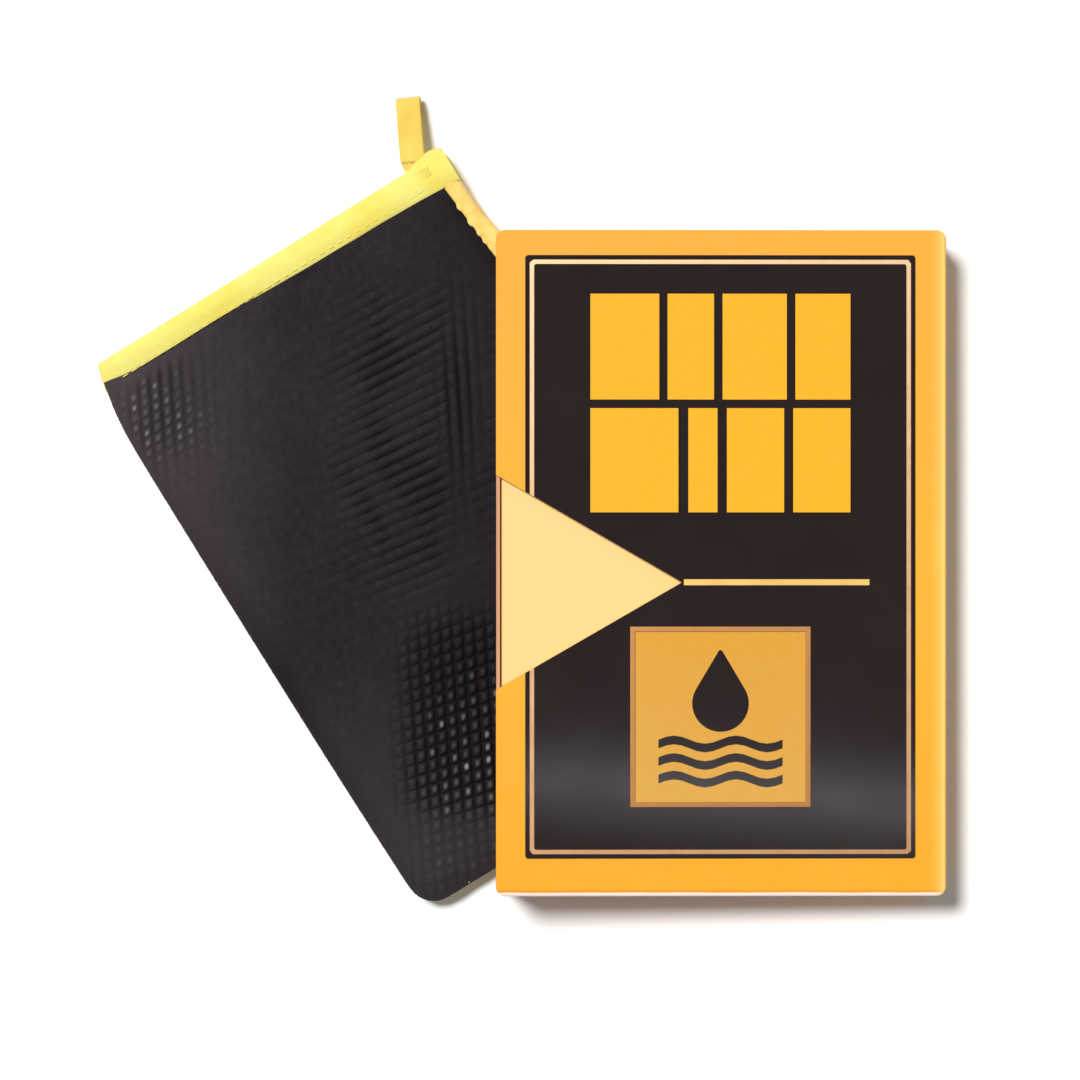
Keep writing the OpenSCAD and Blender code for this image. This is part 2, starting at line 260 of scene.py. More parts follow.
def front_height(heights, u, v):
    """A surface of the front panel, which rolls down along the left side and the finger end."""
    x, y = mitt_xy(u, v)
    h = surface(heights, x, y)
    inside = np.clip(depth_inside(u, v, ROLLED) / 10, 0, 1)
    roll = ROLL * (1 - np.sqrt(1 - (1 - inside) ** 2)) * h / FACE[0]
    right = np.clip((depth_inside(u, v, RIGHT_EDGES) - 6) / 8, 0, 1)
    roll = roll + (0.9 + 0.7 * smooth((106 - v) / 8)) * (1 - right) ** 2
    across = np.sin(u / 19 + 1.3 * np.sin(v / 33))
    along = np.sin(v / 24 + 0.8 * np.sin(u / 27) + 1)
    wave = 0.5 + 0.25 * across + 0.25 * along
    calm = smooth((100 - v) / 25) * np.clip((OPEN_X - x) / 40, 0, 1)
    return h - roll - WAVES * wave * calm


def clip_to(mesh, outline):
    """Cuts a flat or curved sheet in the mitt's axes to a convex outline."""
    for a, n in edges_of(outline):
        bmesh.ops.bisect_plane(
            mesh,
            geom=mesh.verts[:] + mesh.edges[:] + mesh.faces[:],
            dist=1e-5,
            plane_co=(a[0], a[1], 0),
            plane_no=(-n[0], -n[1], 0),
            clear_outer=True,
        )


def sheet_grid(outline, step):
    """A flat grid of squares in the mitt's axes, cut to an outline."""
    mesh = bmesh.new()
    low = np.min(outline, axis=0) - 0.5
    high = np.max(outline, axis=0) + 0.5
    cols = int((high[0] - low[0]) / step) + 1
    rows = int((high[1] - low[1]) / step) + 1

    def corner(i, j):
        return mesh.verts.new((low[0] + i * step, low[1] + j * step, 0))

    verts = [[corner(i, j) for j in range(rows + 1)] for i in range(cols + 1)]
    for i in range(cols):
        for j in range(rows):
            mesh.faces.new((verts[i][j], verts[i + 1][j], verts[i + 1][j + 1], verts[i][j + 1]))
    clip_to(mesh, outline)
    bmesh.ops.recalc_face_normals(mesh, faces=mesh.faces)
    return mesh


def slab(name, outline, step, low, high, material, node, bulge=0.0):
    """A closed layer of the mitt between two height functions of (u, v), cut to an outline."""
    mesh = sheet_grid(outline, step)
    mesh.verts.index_update()
    flat = np.array([v.co[:2] for v in mesh.verts])
    faces = [[v.index for v in f.verts] for f in mesh.faces]
    a, b, c = flat[faces[0][:3]]
    if (b[0] - a[0]) * (c[1] - a[1]) < 0:
        faces = [f[::-1] for f in faces]
    mesh.free()
    sides = [(f[i - 1], f[i]) for f in faces for i in range(len(f))]
    shared = {(b, a) for a, b in sides}
    rim = dict(side for side in sides if side not in shared)
    edges = edges_of(outline)
    z0 = low(flat[:, 0], flat[:, 1])
    z1 = high(flat[:, 0], flat[:, 1])
    count = len(flat)
    points = [np.column_stack([flat, z0]), np.column_stack([flat, z1])]
    made = [f[::-1] for f in faces] + [[i + count for i in f] for f in faces]
    steps = 3 if bulge else 1
    last = {a: a for a in rim}
    at = 2 * count
    for k in range(1, steps + 1):
        if k == steps:
            new = {a: a + count for a in rim}
        else:
            t = k / steps
            ring = []
            new = {}
            for a in rim:
                u, v = flat[a]
                _, n = min(edges, key=lambda e: (u - e[0][0]) * e[1][0] + (v - e[0][1]) * e[1][1])
                push = bulge * math.sin(math.pi * t)
                ring.append((u - n[0] * push, v - n[1] * push, z0[a] + (z1[a] - z0[a]) * t))
                new[a] = at + len(ring) - 1
            points.append(np.array(ring))
            at += len(ring)
        made += [(last[a], last[b], new[b], new[a]) for a, b in rim.items()]
        last = new
    return piece(name, mitt_points(np.concatenate(points)), made, material, "mitt", [node])


def tufted(points, height):
    """Moves points by clumpy noise, as the loops of a plush pile stand up."""
    noise.seed_set(1)  # or noise_vector differs from run to run
    moved = np.array(points)
    for p in moved:
        q = Vector(p)
        clump = noise.voronoi(q / 3.4)[0]
        lift = height * (0.75 - 1.5 * clump[0]) + 0.35 * height * noise.noise(q / 0.9)
        side = noise.noise_vector(q / 2.3)
        p[0] += 0.5 * height * side[0]
        p[1] += 0.5 * height * side[1]
        p[2] += lift
    return moved


# ---- Materials ----


def srgb(*values):
    """A colour given from 0 to 255, as the linear values that Blender takes."""
    linear = [(c / 255 / 12.92) if c <= 10 else ((c / 255 + 0.055) / 1.055) ** 2.4 for c in values]
    return (*linear, 1.0)


class Finish:
    """A material with a Principled shader and short ways to add its nodes."""

    def __init__(self, name, roughness, specular, metallic=0.0, coat=0.0, sheen=0.0):
        self.material = bpy.data.materials.new(name)
        self.material.use_nodes = True
        self.tree = self.material.node_tree
        self.shader = self.tree.nodes["Principled BSDF"]
        levels = {"Roughness": roughness, "Specular IOR Level": specular, "Metallic": metallic}
        levels |= {"Coat Weight": coat, "Coat Roughness": 0.1, "Sheen Weight": sheen}
        for key, level in levels.items():
            self.shader.inputs[key].default_value = level
        self.place = self.node("TexCoord").outputs["Object"]

    def link(self, source, target):
        self.tree.links.new(source, target)

    def feed(self, socket, value):
        """Gives a socket a fixed value or another socket's output."""
        if isinstance(value, (int, float, tuple)):
            socket.default_value = value
        else:
            self.link(value, socket)

    def node(self, kind, **settings):
        return adjusted(self.tree.nodes.new("ShaderNode" + kind), **settings)

    def texture(self, kind, scale, at, **settings):
        node = self.node("Tex" + kind, **settings)
        node.inputs["Scale"].default_value = scale
        self.link(at or self.place, node.inputs["Vector"])
        return node

    def turned(self, angle, stretch=(1, 1, 1)):
        """Coordinates turned about Z, so that a weave follows the mitt."""
        node = self.node("Mapping")
        node.inputs["Rotation"].default_value = (0, 0, -angle)
        node.inputs["Scale"].default_value = stretch
        self.link(self.place, node.inputs["Vector"])
        return node.outputs["Vector"]

    def noise(self, size, detail=3, rough=0.55, at=None):
        """Noise whose features are about size metres across."""
        node = self.texture("Noise", 1 / size, at)
        node.inputs["Detail"].default_value = detail
        node.inputs["Roughness"].default_value = rough
        return node.outputs["Fac"]

    def jitter(self, size, amount):
        """Noise that adds or takes away up to half an amount."""
        return self.math("MULTIPLY", self.math("SUBTRACT", self.noise(size), 0.5), amount)

    def uneven(self, size, low, high, detail=3):
        """Makes the roughness wander between two values."""
        self.ramp(self.noise(size, detail), [(0.3, low), (0.7, high)], "Roughness")

    def cells(self, size, at=None):
        """Distance from the middles of cells that are about size metres across."""
        return self.texture("Voronoi", 1 / size, at).outputs["Distance"]

    def bands(self, period, axis, at):
        """Slightly wavy ridges across an axis, a period apart in metres."""
        node = self.texture("Wave", math.pi / 10 / period, at, bands_direction=axis)
        node.inputs["Distortion"].default_value = 0.6
        node.inputs["Detail"].default_value = 1
        return node.outputs["Fac"]

    def attribute(self, name):
        """A value that is stored at the mesh's points."""
        return self.node("Attribute", attribute_name=name).outputs["Fac"]

    def math(self, operation, a, b):
        node = self.node("Math", operation=operation)
        self.feed(node.inputs[0], a)
        self.feed(node.inputs[1], b)
        return node.outputs[0]

    def ramp(self, factor, stops, to=None):
        """Maps a factor through colour stops of (position, colour), into a socket if one is given."""
        node = self.node("ValToRGB")
        elements = node.color_ramp.elements
        while len(elements) < len(stops):
            elements.new(0.5)
        for element, (position, colour) in zip(elements, stops):
            element.position = position
            element.color = colour if isinstance(colour, tuple) else (colour, colour, colour, 1)
        self.link(factor, node.inputs["Fac"])
        if to:
            self.link(node.outputs["Color"], self.shader.inputs[to])
        return node.outputs["Color"]

    def mix(self, factor, a, b, to=None, mode="MIX"):
        """Mixes two colours, into a socket if one is given."""
        node = self.node("Mix", data_type="RGBA", blend_type=mode)
        for socket, value in ((0, factor), (6, a), (7, b)):
            self.feed(node.inputs[socket], value)
        if to:
            self.link(node.outputs[2], self.shader.inputs[to])
        return node.outputs[2]

    def bump(self, height, distance, strength=1.0):
        """Adds a bump from a height, a distance in metres deep, on top of any that is there."""
        node = self.node("Bump")
        node.inputs["Strength"].default_value = strength
        node.inputs["Distance"].default_value = distance
        self.link(height, node.inputs["Height"])
        normal = self.shader.inputs["Normal"]
        if normal.is_linked:
            self.link(normal.links[0].from_socket, node.inputs["Normal"])
        self.link(node.outputs["Normal"], normal)


def split(finish, axis):
    """One coordinate of the row frame: 0, 1 or 2 for X, Y or Z."""
    node = finish.node("SeparateXYZ")
    finish.link(finish.place, node.inputs[0])
    return node.outputs[axis]


def along_carton(finish):
    """How far points lie along the carton's width, in metres."""
    return finish.math(
        "SUBTRACT",
        finish.math("MULTIPLY", split(finish, 0), math.cos(CARTON_LEAN)),
        finish.math("MULTIPLY", split(finish, 2), math.sin(CARTON_LEAN)),
    )


def up_carton(finish):
    """How far points lie above the carton's back, in metres."""
    from_edge = finish.math("SUBTRACT", split(finish, 0), CARTON_EDGE[0] * MM)
    return finish.math(
        "ADD",
        finish.math("MULTIPLY", from_edge, math.sin(CARTON_LEAN)),
        finish.math("MULTIPLY", split(finish, 2), math.cos(CARTON_LEAN)),
    )


def up_front(finish):
    """Rises from 0 at the foot of the carton's front to 1 at its top."""
    return finish.math("MULTIPLY", finish.math("ADD", split(finish, 1), 0.147), 4.03)


def printed_paper(name, low, middle, high, roughness):
    """Laminated printed paper, from its low colour at the carton's foot to its high one. Gives its Finish."""
    f = Finish(name, roughness, specular=0.2, coat=0.12)
    tone = f.ramp(f.math("ADD", up_front(f), f.jitter(0.02, 0.25)), [(0.0, low), (0.5, middle), (1.0, high)])
    fibres = f.ramp(f.noise(0.0016, 4), [(0.35, 0.0), (0.75, 0.05)])
    f.mix(fibres, tone, srgb(255, 226, 170), "Base Color")
    f.uneven(0.006, roughness - 0.05, roughness + 0.07)
    f.bump(f.noise(0.0007, 4), 0.00002)
    return f


def paper_with_worn_and_highlit_edges():
    """The sleeve's paper: a painted highlight along the spine, and at the front's lower fold a pale band of
    wear and painted highlight under a painted shade line.
    """
    # its tone up the front is a painted shading: paler towards the top, where light falls from above
    f = printed_paper("printed_paper", srgb(252, 168, 20), srgb(252, 177, 42), srgb(253, 171, 49), 0.45)
    base = f.shader.inputs["Base Color"]
    printed = base.links[0].from_socket
    above_fold = f.math("SUBTRACT", split(f, 1), (CARTON_EDGE[1] - CARTON_H / 2) * MM)
    fold = f.math("ADD", f.math("DIVIDE", above_fold, 0.004), f.jitter(0.03, 0.2))
    # a painted shade line just above the lower fold
    painted_crease_shade = f.ramp(fold, [(0.30, 0.0), (0.42, 0.55), (0.46, 0.55), (0.62, 0.0)])
    with_crease_shade = f.mix(painted_crease_shade, printed, srgb(232, 112, 24))
    near_front = f.math("DIVIDE", f.math("SUBTRACT", up_carton(f), (CARTON_D - 3) * MM), 0.003)
    on_front = f.ramp(near_front, [(0.4, 0.0), (0.7, 1.0)])
    # the lower fold is pale: wear and a painted highlight
    fold_wear_and_highlight = f.math("MULTIPLY", f.ramp(fold, [(0.30, 0.9), (0.40, 0.0)]), on_front)
    pale = f.mix(fold_wear_and_highlight, with_crease_shade, srgb(255, 240, 226))
    # the spine gets a painted highlight
    inwards = f.math("SUBTRACT", CARTON_EDGE[0] * math.cos(CARTON_LEAN) * MM, along_carton(f))
    spine = f.ramp(f.math("DIVIDE", inwards, 0.008), [(0.0, 0.3), (0.14, 0.75), (0.3, 0.3), (0.75, 0.0)])
    f.mix(spine, pale, srgb(255, 226, 130), "Base Color")
    return f.material


def black_print():
    f = Finish("black_print", 0.1, specular=0.5)
    f.ramp(f.noise(0.03, 3), [(0.3, srgb(33, 20, 19)), (0.7, srgb(38, 24, 23))], "Base Color")
    f.uneven(0.02, 0.09, 0.11, 2)
    f.bump(f.noise(0.0009, 3), 0.000002)
    return f.material


def gold_foil(name, dark, light):
    """Stamped foil, from dark at the carton's foot to light at its top."""
    f = Finish(name, 0.42, specular=0.5, metallic=0.6)
    f.ramp(f.math("ADD", up_front(f), f.jitter(0.01, 0.5)), [(0.0, dark), (1.0, light)], "Base Color")
    f.uneven(0.004, 0.38, 0.46)
    f.bump(f.noise(0.0008, 2), 0.000004)
    return f.material


def flecked(f, fibre):
    """Short fibres, as in board, whose bump is added here."""
    flecks = f.noise(fibre, 5, 0.7, f.turned(0.3, (1, 2.2, 1.4)))
    f.bump(flecks, 0.00006)
    return flecks


def board(name, dark, light, fibre, roughness):
    """Bare or lined board, with short fibres in it."""
    f = Finish(name, roughness, specular=0.25)
    f.ramp(flecked(f, fibre), [(0.3, dark), (0.7, light)], "Base Color")
    f.uneven(0.004, roughness - 0.08, roughness + 0.08)
    return f.material


def clay_rubber():
    """Black clay rubber: a painted shade in the grooves, pale pad middles that are partly chalky and partly a
    painted glint, and a few specks of grit.
    """
    f = Finish("clay_rubber", 0.6, specular=0.1)
    cloud = f.ramp(f.noise(0.05, 3), [(0.35, srgb(30, 23, 28)), (0.65, srgb(39, 31, 34))])
    # paler towards the mitt's outer side and its finger end
    outer = f.ramp(f.math("DIVIDE", f.math("ADD", split(f, 0), 0.16), 0.16), [(0.05, 1.0), (0.45, 0.0)])
    lower = f.ramp(f.math("DIVIDE", f.math("ADD", split(f, 1), 0.16), 0.16), [(0.15, 1.0), (0.6, 0.0)])
    cloud = f.mix(outer, cloud, srgb(70, 60, 62))
    cloud = f.mix(lower, cloud, srgb(55, 47, 49))
    # the grooves darken towards srgb(10, 7, 11) by a painted shade from the pad attribute
    groove_shaded = f.mix(f.attribute("pad"), srgb(10, 7, 11), cloud)
    column, row = f.attribute("column"), f.attribute("row")
    across = f.math("MULTIPLY", f.math("SUBTRACT", f.math("FRACT", column, 0), 0.5), 1.25 * PITCH_COL)
    up = f.math("MULTIPLY", f.math("SUBTRACT", f.math("FRACT", row, 0), 0.5), 0.85 * PITCH_ROW)
    squares = f.math("ADD", f.math("MULTIPLY", across, across), f.math("MULTIPLY", up, up))
    from_middle = f.math("SQRT", squares, 0)
    dot = f.ramp(f.math("DIVIDE", from_middle, 3), [(0.14, 1.0), (0.42, 0.0)])
    pad = f.node("CombineXYZ")
    f.link(f.math("FLOOR", column, 0), pad.inputs["X"])
    f.link(f.math("FLOOR", row, 0), pad.inputs["Y"])
    chance = f.node("TexWhiteNoise")
    f.link(pad.outputs["Vector"], chance.inputs["Vector"])
    much = f.ramp(chance.outputs["Value"], [(0.0, 0.03), (0.5, 0.14), (0.85, 0.32), (1.0, 1.0)])
    # pale pad middles: partly chalky, partly a painted glint where light catches the pad tops
    chalk_and_glint = f.math("MULTIPLY", f.math("MULTIPLY", dot, much), f.attribute("chalk_and_glint"))
    chalked_and_glinting = f.mix(chalk_and_glint, groove_shaded, srgb(178, 172, 170))
    grit = f.ramp(f.cells(0.0042), [(0.03, 1.0), (0.05, 0.0)])
    sparse = f.ramp(f.noise(0.012, 2), [(0.70, 0.0), (0.74, 0.45)])
    f.mix(f.math("MULTIPLY", grit, sparse), chalked_and_glinting, srgb(150, 145, 140), "Base Color")
    f.uneven(0.003, 0.54, 0.7, 4)
    f.bump(f.noise(0.0008, 4), 0.000014)
    f.bump(f.noise(0.004, 3), 0.00005, 0.6)
    return f.material


def plush_pile():
    f = Finish("plush_pile", 0.95, specular=0.1, sheen=0.25)
    f.shader.inputs["Sheen Roughness"].default_value = 0.5
    clumps = f.cells(0.0034)
    fibres = f.noise(0.0005, 5, 0.7)
    pale, middle, deep = srgb(255, 226, 138), srgb(254, 216, 114), srgb(248, 200, 92)
    tone = f.ramp(clumps, [(0.0, pale), (0.5, middle), (0.95, deep)])
    f.mix(f.ramp(fibres, [(0.35, 0.0), (0.75, 0.3)]), tone, srgb(255, 236, 160), "Base Color")
    f.bump(fibres, 0.00008)
    f.bump(clumps, 0.00012, 0.5)
    return f.material


def tray_board():
    """Tan lined board. The outside of the drawer's end is near black: a painted shadow where the end shows
    beside the mitt.
    """
    f = Finish("tray_board", 0.8, specular=0.2)
    tan = f.ramp(flecked(f, 0.0008), [(0.3, srgb(208, 148, 110)), (0.7, srgb(226, 170, 130))])
    mouth = (CARTON_EDGE[0] * math.cos(CARTON_LEAN) - CARTON_W) * MM
    # painted shadow: the outside of the drawer's end goes near black
    outside = f.math("LESS_THAN", along_carton(f), mouth + 0.1 * MM)
    f.mix(outside, tan, srgb(24, 21, 30), "Base Color")
    f.uneven(0.004, 0.72, 0.88)
    return f.material


def woven(name, dark, light, warp, weft, depth=0.00012, gap=0.92):
    """Woven tape: ridges of yarn both ways across it, darker in the gaps between them, with fine fuzz."""
    f = Finish(name, 0.8, specular=0.25, sheen=0.35)
    at = f.turned(MITT_TURN)
    yarn = f.math("MULTIPLY", f.bands(warp, "X", at), f.bands(weft, "Y", at))
    cloud = f.ramp(f.noise(0.012, 3), [(0.3, dark), (0.7, light)])
    shade = f.ramp(yarn, [(0.0, gap), (0.4, 1.0)])
    f.mix(1.0, cloud, shade, "Base Color", "MULTIPLY")
    f.uneven(0.002, 0.7, 0.9)
    f.bump(yarn, depth)
    f.bump(f.noise(0.0004, 3), 0.00004)
    return f.material


def knit():
    """Thin knitted lining."""
    f = Finish("pocket_lining", 0.9, specular=0.2, sheen=0.3)
    loops = f.cells(0.0012, f.turned(MITT_TURN, (1, 0.8, 1)))
    tone = f.math("ADD", loops, f.noise(0.02, 2))
    f.ramp(tone, [(0.4, srgb(78, 78, 84)), (1.1 / 1.2, srgb(44, 44, 48))], "Base Color")
    f.bump(loops, 0.0002)
    return f.material


def sponge():
    f = Finish("backing_foam", 0.95, specular=0.15)
    pores = f.cells(0.0009)
    f.ramp(pores, [(0.1, srgb(70, 66, 68)), (0.7, srgb(28, 26, 28))], "Base Color")
    f.bump(pores, 0.0003)
    return f.material


AMBER_COLOURS = (srgb(252, 181, 26), srgb(252, 180, 14), srgb(252, 178, 10))
BADGE_COLOURS = (srgb(220, 167, 76), srgb(226, 157, 36), srgb(226, 157, 36))
PAPER = paper_with_worn_and_highlit_edges()
AMBER = printed_paper("amber_print", *AMBER_COLOURS, 0.42).material
BADGE = printed_paper("badge_print", *BADGE_COLOURS, 0.38).material
BLACK = black_print()
FOIL = gold_foil("gold_foil", srgb(194, 144, 100), srgb(226, 188, 144))
RULE_FOIL = gold_foil("rule_foil", srgb(216, 166, 84), srgb(242, 206, 122))
RIM_FOIL = gold_foil("badge_foil", srgb(176, 120, 66), srgb(196, 140, 82))
GREYBOARD = board("greyboard", srgb(196, 160, 108), srgb(226, 190, 132), 0.0011, 0.85)
TRAY = tray_board()
CARD = board("cream_card", srgb(252, 210, 132), srgb(255, 218, 147), 0.0007, 0.7)
CLAY = clay_rubber()
PLUSH = plush_pile()
TAPE = woven("binding_tape", srgb(253, 232, 100), srgb(255, 245, 134), 0.0009, 0.0007)
WEBBING = woven("loop_strap", srgb(240, 200, 78), srgb(250, 218, 104), 0.0012, 0.0008)
THREAD = woven("sewing_thread", srgb(250, 232, 104), srgb(255, 243, 132), 0.0004, 0.0004, 0.00001, 0.97)
LINING = knit()
FOAM = sponge()
ELASTIC = woven("braided_elastic", srgb(214, 212, 204), srgb(238, 236, 230), 0.0016, 0.0008, 0.0002, 0.8)


# ---- Carton ----


def rounded(left, right, half, r, steps, extra=()):
    """A rectangle with round corners, as the carton is seen, and extra points on both of its long sides."""
    return (
        arc((right - r, half - r), r, 0, 90, steps)
        + list(extra)
        + arc((left + r, half - r), r, 90, 180, steps)
        + arc((left + r, r - half), r, 180, 270, steps)
        + [(x, -y) for x, y in extra[::-1]]
        + arc((right - r, r - half), r, 270, 360, steps)
    )


def carton_outline(inset):
    """The carton from the front, drawn in all round but at its open end, at the left."""
    return rounded(-CARTON_W, -inset, CARTON_H / 2 - inset, CARTON_R - inset, 8)


def lid(outline, skin, soft, low, high):
    """A hollow lid with soft upper edges, open underneath. outline(inset) gives its plan."""
    rings = [(skin, high - skin), (skin, low), (0.0, low), (0.0, high - soft)]
    for a in np.radians((15, 30, 45, 60, 75, 90)):
        rings.append((soft * (1 - math.cos(a)), high - soft * (1 - math.sin(a))))
    rings.append((soft + 0.3, high))
    return loft([np.array([(x, y, z) for x, y in outline(inset)]) for inset, z in rings])


def carton_piece(name, lid_shape, material, body, node):
    points, faces = lid_shape
    return piece(name, carton_points(points), faces, material, body, [node], 30)


def sleeve_paper():
    """The sleeve's printed paper: rounded edges round the front, open at the left and at the back."""
    wrap = lid(carton_outline, 0.4, 1.0, 0.4, CARTON_D)
    paper = carton_piece("sleeve_paper", wrap, PAPER, "sleeve", "sleeve_wrap")
    left, mouth = -CARTON_W, CARTON_H / 2 - 2
    # the notch is an equilateral triangle, cut from 2 mm outside the edge
    wide = (NOTCH_REACH + 2) * math.tan(math.radians(30))
    mouth_plan = [(left - 2, -mouth), (left + 1, -mouth), (left + 1, mouth), (left - 2, mouth)]
    notch_plan = [(left - 2, NOTCH_Y - wide), (left + NOTCH_REACH, NOTCH_Y), (left - 2, NOTCH_Y + wide)]
    cut_out(paper, mouth_plan, -2, CARTON_D - 0.3)
    cut_out(paper, notch_plan, CARTON_D - 5, CARTON_D + 5)
    paper.data.set_sharp_from_angle(angle=math.radians(30))


CARD_END, CARD_HALF = -4.9, CARTON_H / 2 - 4.3  # the card's inner end, and half its height
LIP = 2.3  # the flanges stop this far before the card's inner end


def card_outline(inset):
    """The card from the front, with two extra points at each long side where its flange stops."""
    left, half = DRAWER_T + 0.4 - CARTON_W + inset, CARD_HALF - inset
    lip = [(CARD_END - LIP + 0.4, half), (CARD_END - LIP, half)]
    return rounded(left, CARD_END - inset, half, max(0.2, 1.6 - inset), 4, lip)


def insert_card():
    """The card over the tray, whose flanges fold down softly. Its inner end has only a short lip."""
    points, faces = lid(card_outline, CARD_T, 1.5, CARD_LOW, CARD_HIGH)
    at_end = (points[:, 0] > CARD_END - LIP + 0.2) & (points[:, 2] < CARD_LOW + 0.1)
    outer = np.abs(points[:, 1]) > CARD_HALF - CARD_T / 2
    outer |= points[:, 0] > CARD_END - CARD_T / 2
    points[at_end, 2] = CARD_HIGH - np.where(outer[at_end], 1.7, 1.3)
    carton_piece("insert_card_folded", (points, faces), CARD, "drawer", "insert_card")


def cut_out(obj, plan, low, high):
    """Cuts a prism in the carton's axes out of a piece, and leaves nothing of the cutter behind."""
    points, faces = loft([np.array([(x, y, z) for x, y in plan]) for z in (low, high)])
    mesh = bpy.data.meshes.new("cutter")
    mesh.from_pydata([tuple(p) for p in carton_points(points)], [], faces)
    outward(mesh)
    cutter = placed("cutter", mesh)
    adjusted(obj.modifiers.new("cut", "BOOLEAN"), operation="DIFFERENCE", solver="EXACT", object=cutter)
    bpy.context.view_layer.update()
    shape = bpy.data.meshes.new_from_object(obj.evaluated_get(bpy.context.evaluated_depsgraph_get()))
    uncut = obj.data
    obj.modifiers.clear()
    obj.data = shape
    bpy.data.objects.remove(cutter)
    bpy.data.meshes.remove(uncut)
    bpy.data.meshes.remove(mesh)


def dress(node, material, bevel=0.0):
    """Gives a CAD node its material, and softens its edges if asked."""
    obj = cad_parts[node]
    obj.data.materials.clear()
    obj.data.materials.append(material)
    if bevel:
        adjusted(obj.modifiers.new("weld", "WELD"), merge_threshold=1e-6)
        flat = obj.modifiers.new("flat", "DECIMATE")
        adjusted(flat, decimate_type="DISSOLVE", angle_limit=math.radians(1))
        soft = obj.modifiers.new("soft", "BEVEL")
        adjusted(soft, width=bevel * MM, segments=3, limit_method="ANGLE", angle_limit=math.radians(40))
        adjusted(obj.modifiers.new("even", "WEIGHTED_NORMAL"), keep_sharp=True)


# ---- Mitt ----


def lattice(cols, rows):
    """Where the embossed lattice's points lie in the mitt's axes. The rows fan out a little up the mitt."""
    upright = math.tan(math.radians(3.7))
    slope = np.tan(np.radians(np.clip(23 + rows * 0.27, 17, 31)))
    y = (rows * PITCH_ROW + cols * PITCH_COL * slope) / (1 + upright * slope)
    x = cols * PITCH_COL - y * upright
    c, s = math.cos(MITT_TURN), math.sin(MITT_TURN)
    return x * c + y * s, y * c - x * s


def spot(x, y, middle, reach):
    """1 at the middle of an oval patch, fading out over its reach."""
    return np.exp(-(((x - middle[0]) / reach[0]) ** 2 + ((y - middle[1]) / reach[1]) ** 2))


def emboss_marks(u, v, edge):
    """How deep the grooves across and along are, and how pale the pads' middles are, partly chalky and partly
    a painted glint.

    The emboss shows beside the carton and at the cuff's left end. It is pressed nearly flat elsewhere.
    """
    x, y = mitt_xy(u, v)
    clear = smooth((edge - 1.2) / 3.5)
    low = smooth((x + 52) / 26) * smooth((-34 - y) / 34) * (1 - 0.9 * smooth((-104 - y) / 22))
    left = spot(x, y, (-136, 28), (13, 13))
    patchy = smooth(0.5 + 0.9 * np.sin(x / 7 + 2 * np.sin(y / 15)) * np.sin(y / 12 + 1.5 * np.sin(x / 9)))
    slanted = (0.3 + 0.7 * patchy) * smooth((x + 78) / 26) * smooth((y + 45) / 40)
    slanted *= smooth((88 - y) / 24) * (1 - 0.8 * smooth((x + 32) / 12))
    upright = spot(x, y, (-23, 39), (7, 30)) + 0.5 * spot(x, y, (-136, 46), (15, 10))
    along = clear * np.clip(low + 0.3 * left + 0.5 * upright, 0, 1)
    across = clear * np.clip(low + 0.25 * left + 0.55 * slanted, 0, 1)
    # where the pads' middles are pale, partly chalky and partly a painted glint
    chalked_and_glinting = clear * np.clip(0.8 * low * smooth((-55 - y) / 40) * smooth((x + 44) / 18) + left, 0, 1)
    return 0.02 + 0.8 * along, 0.02 + 0.8 * across, chalked_and_glinting


# the grooves' painted shade is darkest at this depth
DARK_DEPTH = 0.36  # a groove this deep is as dark as it gets
# One pad's section across and along: where its points lie in a cell, and how high they stand.
PAD_ACROSS = ((0.0, 0.0), (0.11, 0.05), (0.24, 0.8), (0.5, 1.0), (0.76, 0.8), (0.89, 0.05))
PAD_ALONG = ((0.0, 0.0), (0.045, 0.1), (0.13, 0.8), (0.5, 1.0), (0.87, 0.8), (0.955, 0.1))


